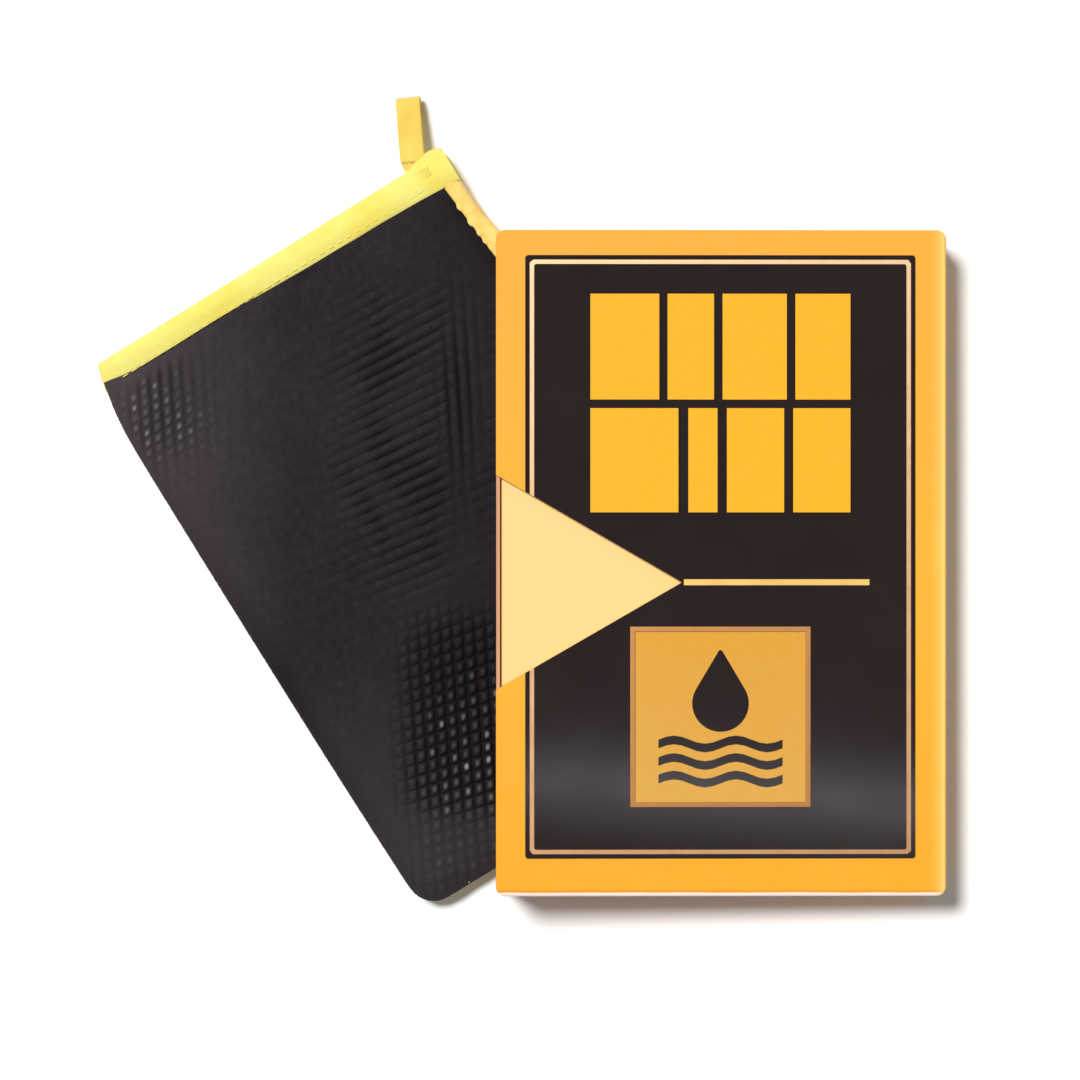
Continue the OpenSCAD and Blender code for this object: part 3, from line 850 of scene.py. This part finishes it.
def clay_face():
    """The embossed face: pads on a slanted lattice, with wide grooves one way and narrow ones the other."""
    reach = 38
    cells = np.arange(-reach, reach)
    stops_c, up_c = np.transpose(PAD_ACROSS)
    stops_r, up_r = np.transpose(PAD_ALONG)
    c = (cells[:, None] + stops_c[None, :]).ravel()
    r = (cells[:, None] + stops_r[None, :]).ravel()
    cc, rr = np.meshgrid(c, r, indexing="ij")
    up_c, up_r = np.tile(up_c, len(cells))[:, None], np.tile(up_r, len(cells))[None, :]
    u, v = lattice(cc, rr)
    outline = mitt_outline(0.0, CLAY_SIDE, CUFF_LOW + 6)
    inside = depth_inside(u, v, edges_of(outline))
    near = inside > -5
    # each pad sits a little higher, lower or more tilted than the next
    rng = np.random.default_rng(7)
    lift, tip_c, tip_r = rng.uniform(-1, 1, (3, len(cells), len(cells)))
    ic, ir = np.floor(cc).astype(int) + reach, np.floor(rr).astype(int) + reach
    tilt = 0.35 * lift[ic, ir] + 0.9 * tip_c[ic, ir] * (cc % 1 - 0.5) + 0.9 * tip_r[ic, ir] * (rr % 1 - 0.5)
    along, across, chalk_and_glint = emboss_marks(u, v, np.minimum(inside, CUFF_LOW - v))
    sunk = np.maximum(along * (1 - up_c), across * (1 - up_r))
    uneven = 0.2 * np.minimum(along, across) * tilt
    z = front_height(FACE, u, v) - sunk + uneven * up_c * up_r
    # a painted shade for the grooves, stored as the pad attribute
    shade = 1 - np.clip(sunk / DARK_DEPTH, 0, 1)

    faces = near[:-1, :-1] & near[1:, :-1] & near[1:, 1:] & near[:-1, 1:]
    i, j = np.nonzero(faces)
    index = np.arange(u.size).reshape(u.shape)
    quads = np.stack([index[i, j], index[i + 1, j], index[i + 1, j + 1], index[i, j + 1]], 1)
    keep, quads = np.unique(quads, return_inverse=True)
    mesh = bmesh.new()
    for p in zip(u.flat[keep], v.flat[keep], z.flat[keep]):
        mesh.verts.new(p)
    for name, values in (("pad", shade), ("chalk_and_glint", chalk_and_glint), ("column", cc), ("row", rr)):
        layer = mesh.verts.layers.float.new(name)
        for vert, value in zip(mesh.verts, values.flat[keep]):
            vert[layer] = value
    verts = list(mesh.verts)
    for corners in quads.reshape(-1, 4):
        mesh.faces.new([verts[k] for k in corners])
    clip_to(mesh, outline)
    bmesh.ops.recalc_face_normals(mesh, faces=mesh.faces)
    if sum(f.normal.z for f in mesh.faces) < 0:
        bmesh.ops.reverse_faces(mesh, faces=mesh.faces)
    # the cut edge turns down and closes underneath
    rim = [e for e in mesh.edges if len(e.link_faces) == 1]
    for drop, inward in ((1.3, 0.15), (0.4, 0.8)):
        grown = bmesh.ops.extrude_edge_only(mesh, edges=rim)["geom"]
        rim = [g for g in grown if isinstance(g, bmesh.types.BMEdge)]
        for vert in (g for g in grown if isinstance(g, bmesh.types.BMVert)):
            length = math.hypot(vert.co.x, vert.co.y)
            vert.co.z -= drop
            vert.co.x -= inward * vert.co.x / length
            vert.co.y -= inward * vert.co.y / length
    bmesh.ops.contextual_create(mesh, geom=rim)
    bmesh.ops.triangulate(mesh, faces=[f for f in mesh.faces if len(f.verts) > 4])
    bmesh.ops.recalc_face_normals(mesh, faces=mesh.faces)
    moved = mitt_points(np.array([v.co[:] for v in mesh.verts]))
    for vert, p in zip(mesh.verts, moved):
        vert.co = p
    data = bpy.data.meshes.new("clay_face_embossed")
    mesh.to_mesh(data)
    mesh.free()
    finished("clay_face_embossed", data, CLAY, "mitt", ["clay_face"], 0)


def plush_path(step=0.9):
    """(u, v, outward normal) along the plush edge: down the left side, round the finger end, up the right."""
    end = CUFF_LOW - 0.3
    outline = mitt_outline(PLUSH_INSET, STRIP_SIDE, end)
    top = [i for i, p in enumerate(outline) if p[1] == end]
    corners = np.array(outline[top[1] :] + outline[: top[0] + 1])
    lengths = np.concatenate([[0], np.cumsum(np.hypot(*np.diff(corners, axis=0).T))])
    at = np.linspace(0, lengths[-1], int(lengths[-1] / step))
    u, v = (np.interp(at, lengths, corners[:, k]) for k in (0, 1))
    along = np.gradient(np.column_stack([u, v]), axis=0)
    along /= np.linalg.norm(along, axis=1)[:, None]
    out = np.column_stack([along[:, 1], -along[:, 0]])
    for _ in range(3):
        out[1:-1] = (out[:-2] + 2 * out[1:-1] + out[2:]) / 4
    return u, v, out


STRIP_W = 3.2  # how wide the plush edge is, but beside the clay on the right
# Tufts beside the clay as (v, how far it reaches), from the cuff down.
TUFTS_AT = ((104.6, 0.4), (100.3, 1.5), (96.8, 0.4), (93.6, 1.7), (89.3, 1.8), (85.2, 2.1), (81, 1.3))


def plush_edge():
    """The plush that wraps up round the sides and the finger end, and shows beside the clay on the right."""
    u, v, out = plush_path()
    right = np.where((u > 0) & (v > -HALF_L + CORNER_R), 1.0, 0.0)
    for _ in range(14):
        right[1:-1] = (right[:-2] + 2 * right[1:-1] + right[2:]) / 4
    # on the right it covers the clay's edge, with tufts that reach further over it
    beside_clay = u - across_at(CLAY_SIDE, v) + 0.8
    for middle, over in TUFTS_AT:
        beside_clay = beside_clay + over * np.exp(-(((v - middle) / 1.25) ** 2))
    rings = []
    for a, b, n, w, r in zip(u, v, out, STRIP_W + right * (beside_clay - STRIP_W), right):
        x, y = mitt_xy(a - n[0] * w / 2, b - n[1] * w / 2)
        inner = surface(FACE, x, y) - (4.4 - 3.8 * r)
        low = surface(PLUSH_TOP, x, y) - 0.8
        middle, half = (inner + low) / 2, (inner - low) / 2
        ring = []
        for t in circle(24):
            across, up = squarish(t)
            inwards = w / 2 - across * w / 2
            ring.append((a - n[0] * inwards, b - n[1] * inwards, middle + up * half))
        rings.append(np.array(ring))
    points, faces = loft(rings)
    nodes = ["plush_rim_left", "plush_rim_right", "plush_rim_finger"]
    return mitt_piece("plush_edge", (tufted(points, 0.3), faces), PLUSH, nodes, 0)


def plush_back():
    """The plush back, rounded along its edge and tufted underneath."""
    outline = mitt_outline(PLUSH_INSET, [(80.4, 67), (77.0, 111), (76.2, 121)], CUFF_LOW + 2)

    def under(u, v):
        inside = np.clip(depth_inside(u, v, OUTER_EDGES) / 5, 0, 1)
        x, y = mitt_xy(u, v)
        pile = np.array([noise.voronoi(Vector((a, b, 0)) / 3.4)[0][0] for a, b in zip(u, v)])
        fuzz = np.array([noise.noise(Vector((a, b, 3)) / 0.9) for a, b in zip(u, v)])
        room = np.clip(surface(PLUSH_TOP, x, y) / 5.2, 0.25, 1)
        return room * (1.5 * (1 - inside) ** 2 + 0.9 * pile + 0.12 * fuzz + 0.12)

    def above(u, v):
        x, y = mitt_xy(u, v)
        return surface(PLUSH_TOP, x, y) - 0.02

    return slab("plush_back_pile", outline, 1.9, under, above, PLUSH, "plush_back", bulge=0.5)


def layers():
    """The pieces between the plush and the clay: two linings and the foam."""
    inner = mitt_outline(3.0, CLAY_SIDE, CUFF_LOW + 2)

    def back(heights):
        return lambda u, v: surface(heights, *mitt_xy(u, v))

    def front(heights, drop):
        return lambda u, v: front_height(heights, u, v) - drop

    def layer(name, low, high, material, slot, node):
        return slab(name, inner, 5, low, high, material, node)

    low, high = back(PLUSH_TOP), back(LINING_TOP)
    lying = layer("lining_back", low, high, LINING, "lining", "pocket_lining_back")
    low, middle, high = front(POCKET_TOP, 0.1), front(FOAM_BASE, 0.1), front(CLAY_BASE, 0.6)
    upper = layer("lining_front", low, middle, LINING, "lining", "pocket_lining_front")
    foam = layer("foam_sheet", middle, high, FOAM, "backing_foam", "face_foam")


def sweep_tape(name, section, node, start):
    """A folded tape along the cuff, from a start past its left end. section(u) is its outline as (v, z)."""
    rings = []
    for u in np.linspace(start - CUFF_HALF, CUFF_HALF + 1.4, 160):
        slant = 0.32 * smooth((-58 - u) / 18)
        rings.append(np.array([(u + slant * (v - 117), v, z) for v, z in section(u)]))
    mitt_piece(name, loft(rings), TAPE, [node], 60)


# The front binding's lower edge as (u, v): the tape is narrowest at its left end.
CUFF_EDGE = [
    (-78, 115.0), (-72, 113.1), (-64, 112.3), (-50, 112.0), (-24, 112.1), (-2, 111.1), (10, 110.6),
    (44, 110.2), (78, 108.8),
]


def cuff_edge(u):
    """The front binding's lower edge, with its corners eased."""
    return float(np.mean([np.interp(u + d, *np.transpose(CUFF_EDGE)) for d in (-5, -2.5, 0, 2.5, 5)]))


def wobble(u, phase):
    """A small uneven wave along the cuff."""
    return 0.5 * math.sin(u / 7.3 + phase) + 0.3 * math.sin(u / 3.1 + 2 * phase)


def crest(u):
    """How far the front binding rises past the mouth's edge: it bunches up beside the loop."""
    past_top = max(0.0, (u - 72.5) / 5.6)
    return 2.6 * float(smooth((u - 60) / 12)) * math.sqrt(max(0.0, 1 - past_top**2))


def front_tape(u):
    """Section of the front binding, with a fold line along it and its lower edge sewn down to the clay.

    It runs from the clay's side over the mouth to the pocket's side, and back along the tape's inside.
    """
    rise = 0.6 + crest(u)
    low = cuff_edge(u) + 0.12 * wobble(u, 0)
    top = float(front_height(FACE, np.array([u]), np.array([CUFF_LOW]))[0])
    puff = 0.10 * wobble(u, 1.7)
    fold = low + 3.9 + 0.15 * wobble(u, 3)
    sink = min(0.0, top - 16.0)  # where the clay rolls down, the inside goes with it
    return [
        (low, top - 0.3), (low - 0.05, top + 0.02), (low + 0.3, top + 0.3), (low + 1.3, top + 0.62 + puff),
        (low + 2.6, top + 1.0 + puff), (fold - 0.35, top + 1.26), (fold, top + 1.3), (fold + 0.3, top + 1.38),
        (fold + 1.1, top + 1.46 + puff), (fold + 2.6, top + 1.42 + puff),
        (119.3 + rise, top + 1.1 + 0.6 * puff), (120.4 + rise, top + 0.55), (120.9 + rise, top - 0.5),
        (121.0 + rise, 14.2), (120.85 + rise, 12.7), (120.2 + rise, 11.75), (118.8, 11.4), (115.0, 11.35),
        (111.4, 11.4), (111.1, 11.8), (111.4, 12.1), (115.0, 12.05), (118.6, 12.15), (119.7, 12.7),
        (120.0, 13.8), (120.0, 15.2 + sink / 2), (119.5, 16.1 + sink), (118.2, 16.4 + sink),
        (115.0, 16.2 + sink), (low + 1.5, 16.12 + sink),
    ]


def back_tape(u):
    """Section of the back binding, from the table over the mouth to the pocket, and back along its inside."""
    low = CUFF_LOW + 0.15 * wobble(u, 4)
    high = 6.5 + 0.03 * wobble(u, 5)
    return [
        (low, 0.35), (low + 0.5, 0.06), (113.5, 0.02), (117.0, 0.02), (119.6, 0.15), (120.7, 0.8),
        (121.0, 2.2), (121.0, 4.4), (120.7, 5.7), (119.7, 6.35), (117.5, high), (114.5, high),
        (low + 0.6, 6.45), (low, 6.1), (low + 0.5, 5.75), (114.5, 5.75), (118.4, 5.7), (119.7, 5.2),
        (120.05, 4.2), (120.05, 2.2), (119.7, 1.2), (118.4, 0.85), (114.5, 0.85), (low + 0.5, 0.8),
    ]


def side_tab(side, half_width=0.62, half_height=6.1, middle=7.3):
    """A sewn end of the tape, which swells out halfway along."""
    rings = []
    for v in np.linspace(CUFF_LOW + 0.2, HALF_L - 0.1, 9):
        full = 1 - 0.25 * abs((v - CUFF_LOW) / 5.25 - 1) ** 3
        ring = []
        for t in circle(12):
            across, up = squarish(t)
            u = side * (CUFF_HALF - half_width + across * half_width * full)
            ring.append((u, v, middle + up * half_height * full))
        rings.append(np.array(ring))
    return loft(rings)


def side_seams():
    """The tape's sewn ends, one at each end of the mouth."""
    tabs = joined([side_tab(-1), side_tab(1)])
    mitt_piece("cuff_side_tabs", tabs, TAPE, ["cuff_side_seams"], 60)


def stitch(start, length):
    """A stitch along u whose ends dive into the tape."""
    u, v, z = start
    rings = []
    for t in np.linspace(0, 1, 7):
        r = 0.2 * (0.55 + 0.45 * math.sin(math.pi * t))
        top = z - 0.3 * (2 * t - 1) ** 4
        ring = [(u + t * length, v + r * math.cos(a), top + r * math.sin(a)) for a in circle(8)]
        rings.append(np.array(ring))
    return loft(rings)


def stitches(name, starts, length, node):
    """A row of stitches that start at points in the mitt's axes."""
    row = joined([stitch(start, length) for start in starts])
    mitt_piece(name, row, THREAD, [node], 0)


LOOP_W, STRAP = 9.2, 1.2  # the strap's width and thickness
LOOP_U, LOOP_Z, LOOP_LEAN = 66.3, 14.85, math.radians(25.5)  # where its root is, and its slant
LOOP_REACH, LOOP_R = 22.3, 5.0  # from its root to the middle of the bend, and the bend's radius
LOOP_OUT = STRAP + 0.15 + LOOP_W / 2 * math.sin(LOOP_LEAN)  # from the mouth's edge to the root
LOOP_DROOP = math.asin((LOOP_Z - LOOP_R - 0.1) / LOOP_REACH)  # the bend rests on the table


def loop_points(p):
    """Points in the loop's axes (across the strap, along it, away from it) to the mitt's axes."""
    p = np.asarray(p, float)
    along = p[:, 1] * math.cos(LOOP_DROOP) + p[:, 2] * math.sin(LOOP_DROOP)
    up = p[:, 2] * math.cos(LOOP_DROOP) - p[:, 1] * math.sin(LOOP_DROOP)
    u = p[:, 0] * math.cos(LOOP_LEAN) + along * math.sin(LOOP_LEAN)
    v = along * math.cos(LOOP_LEAN) - p[:, 0] * math.sin(LOOP_LEAN)
    return np.stack([LOOP_U + u, HALF_L + LOOP_OUT + v, LOOP_Z + up], 1)


def hang_loop():
    """The strap, folded on itself into an eye. Its side edges are rounded and its ribs run across it."""

    def side(a, b):
        steps = np.linspace(0, 1, 12)[1:-1]
        return [(a[0] + (b[0] - a[0]) * t, a[1] + (b[1] - a[1]) * t) for t in steps]

    def drop(r1, r2, start, end):
        lean = 90 + math.degrees(math.asin((r2 - r1) / (end - start)))
        near = arc((start, 0), r1, lean, 360 - lean, 8)
        far = arc((end, 0), r2, -lean, lean, 22)
        return near + side(near[-1], far[0]) + far + side(far[-1], near[0])

    outer = np.array(drop(STRAP - 0.05, LOOP_R - 0.05, 0, LOOP_REACH))
    inner = np.array(drop(0.25, LOOP_R - STRAP, 4, LOOP_REACH))
    half = LOOP_W / 2
    rows = [(w * (half - 0.3), outer) for w in np.linspace(-1, 1, 13)]
    rows += [(half, outer * 0.75 + inner * 0.25), (half, outer * 0.25 + inner * 0.75)]
    rows += [(w * (half - 0.3), inner) for w in np.linspace(1, -1, 13)]
    rows += [(-half, outer * 0.25 + inner * 0.75), (-half, outer * 0.75 + inner * 0.25)]
    loops = [np.array([(w, s, t) for s, t in profile]) for w, profile in rows]
    points, faces = loft(loops, closed=True)
    points = mitt_points(loop_points(points))
    piece("hang_loop_strap", points, faces, WEBBING, "loop", ["hang_loop"], 50)


def loop_tail():
    """The strap's doubled ends, which come out of the binding and stop at the loop's root."""
    start = 118
    rings = []
    for t in np.linspace(0, 1, 9):
        ring = []
        for a in circle(24):
            across, up = squarish(a, 0.35, 0.5)
            across = across * LOOP_W / 2
            end = HALF_L + LOOP_OUT - (STRAP + 0.15 + across * math.sin(LOOP_LEAN)) / math.cos(LOOP_LEAN)
            ring.append((LOOP_U + across, start + (end - start) * t, LOOP_Z + up * (STRAP - 0.03)))
        rings.append(np.array(ring))
    mitt_piece("loop_tail_strap", loft(rings), WEBBING, ["loop_tail"], 50)


def tuft(u, v, z, r):
    """A small lumpy ball of pile, wider along the mitt than it is high."""
    rings = []
    for t in np.linspace(0.06, math.pi - 0.06, 11):
        ring = []
        for a in circle(15):
            p = np.array([-math.cos(t), math.sin(t) * math.cos(a), math.sin(t) * math.sin(a)])
            p *= 1 + 0.12 * noise.noise(Vector(2 * p + 0.7 * v))
            ring.append((u + r * p[0], v + 1.5 * r * p[1], z + 0.8 * r * p[2]))
        rings.append(np.array(ring))
    return loft(rings)


def tufts():
    """A few tufts of the pile that stand up past the clay at the finger end's corner."""
    rng = random.Random(5)
    shapes = []
    for i in range(6):
        u, v = -71.5 + i * 2.6 + rng.uniform(-0.8, 0.8), -118.9 + rng.uniform(-0.3, 0.5)
        shapes.append(tuft(u, v, 11.3, rng.uniform(0.35, 0.7)))
    mitt_piece("plush_tufts", joined(shapes), PLUSH, (), 0)


# ---- Stage ----


def camera():
    """Nearly square to the carton's front, and far enough off to see it almost without perspective."""
    obj = placed("camera", adjusted(bpy.data.cameras.new("camera"), sensor_width=36, lens=135, clip_end=20))
    obj.location = (0.10825, -0.01555, 1.53946)
    obj.rotation_euler = (0, math.radians(3.76), 0)
    bpy.context.scene.camera = obj


def floor():
    """A white surface a hair below the set."""
    mesh = bpy.data.meshes.new("floor")
    side = 3.0
    corners = [(-side, -side, 0), (side, -side, 0), (side, side, 0), (-side, side, 0)]
    mesh.from_pydata(corners, [], [(0, 1, 2, 3)])
    f = Finish("white_floor", 0.9, specular=0.1)
    f.shader.inputs["Base Color"].default_value = (0.93, 0.93, 0.93, 1)
    mesh.materials.append(f.material)
    obj = placed("floor", mesh)
    obj.location.z = -0.0001


def lamp(kind, name, energy, **settings):
    return placed(name, adjusted(bpy.data.lights.new(name, kind), energy=energy, **settings))


def lights():
    """A broad light a little to the upper left, a pale sky, and a strip for the black panel's sheen."""
    world = bpy.data.worlds.new("sky")
    world.use_nodes = True
    sky = world.node_tree.nodes["Background"].inputs
    sky["Color"].default_value = (0.87, 0.94, 1.0, 1)
    sky["Strength"].default_value = 0.25
    bpy.context.scene.world = world
    key = lamp("SUN", "key", 3.0, angle=math.radians(12))
    key.rotation_euler = Vector((-0.25, 0.29, 1.0)).to_track_quat("Z", "Y").to_euler()
    strip = lamp("AREA", "strip", 0.12, shape="RECTANGLE", size=0.5, size_y=0.019)
    strip.location = (0.36, -0.198, 1.35)
    strip.rotation_euler = (0, 0, math.radians(-4))
    bpy.context.scene.view_settings.view_transform = "Standard"
    bpy.context.scene.view_settings.look = "None"


# ---- Making the scene ----

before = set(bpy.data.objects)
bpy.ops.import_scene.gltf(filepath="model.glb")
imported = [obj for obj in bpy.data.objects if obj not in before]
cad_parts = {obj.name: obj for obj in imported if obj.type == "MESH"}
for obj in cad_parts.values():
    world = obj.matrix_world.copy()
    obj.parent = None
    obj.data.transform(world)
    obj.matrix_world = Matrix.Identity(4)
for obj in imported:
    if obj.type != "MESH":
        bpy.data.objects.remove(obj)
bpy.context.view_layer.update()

camera()
floor()
lights()

sleeve_paper()
dress("sleeve_back_sheet", PAPER)
for part in ("front_board", "back_board", "top_wall", "bottom_wall", "spine"):
    dress("sleeve_" + part, GREYBOARD)
dress("front_print", BLACK)
dress("foil_frame", FOIL)
dress("foil_rule", RULE_FOIL)
dress("title_blocks", AMBER)
dress("badge_plate", BADGE)
dress("badge_frame", RIM_FOIL, 0.35)
dress("badge_icon", BLACK)
for part in ("floor", "outer_end", "inner_end", "top_side", "bottom_side"):
    dress("drawer_" + part, TRAY)
insert_card()

clay_face()
layers()
plush_back()
plush_edge()
tufts()
sweep_tape("front_binding_tape", front_tape, "cuff_binding_front", -1.2)
sweep_tape("back_binding_tape", back_tape, "cuff_binding_back", 1.2)
side_seams()
dress("cuff_elastic", ELASTIC)
along_cuff = [(6 - CUFF_HALF + i * 4, CUFF_LOW + 1.6, 17.05) for i in range(34)]
stitches("cuff_stitches", along_cuff, 2.6, "cuff_stitching")
over_tail = [(LOOP_U - 3.6, HALF_L - 2 - i * 0.8, 17.2) for i in range(5)]
stitches("loop_bar_stitches", over_tail, 7.2, "loop_bartack")
loop_tail()
hang_loop()
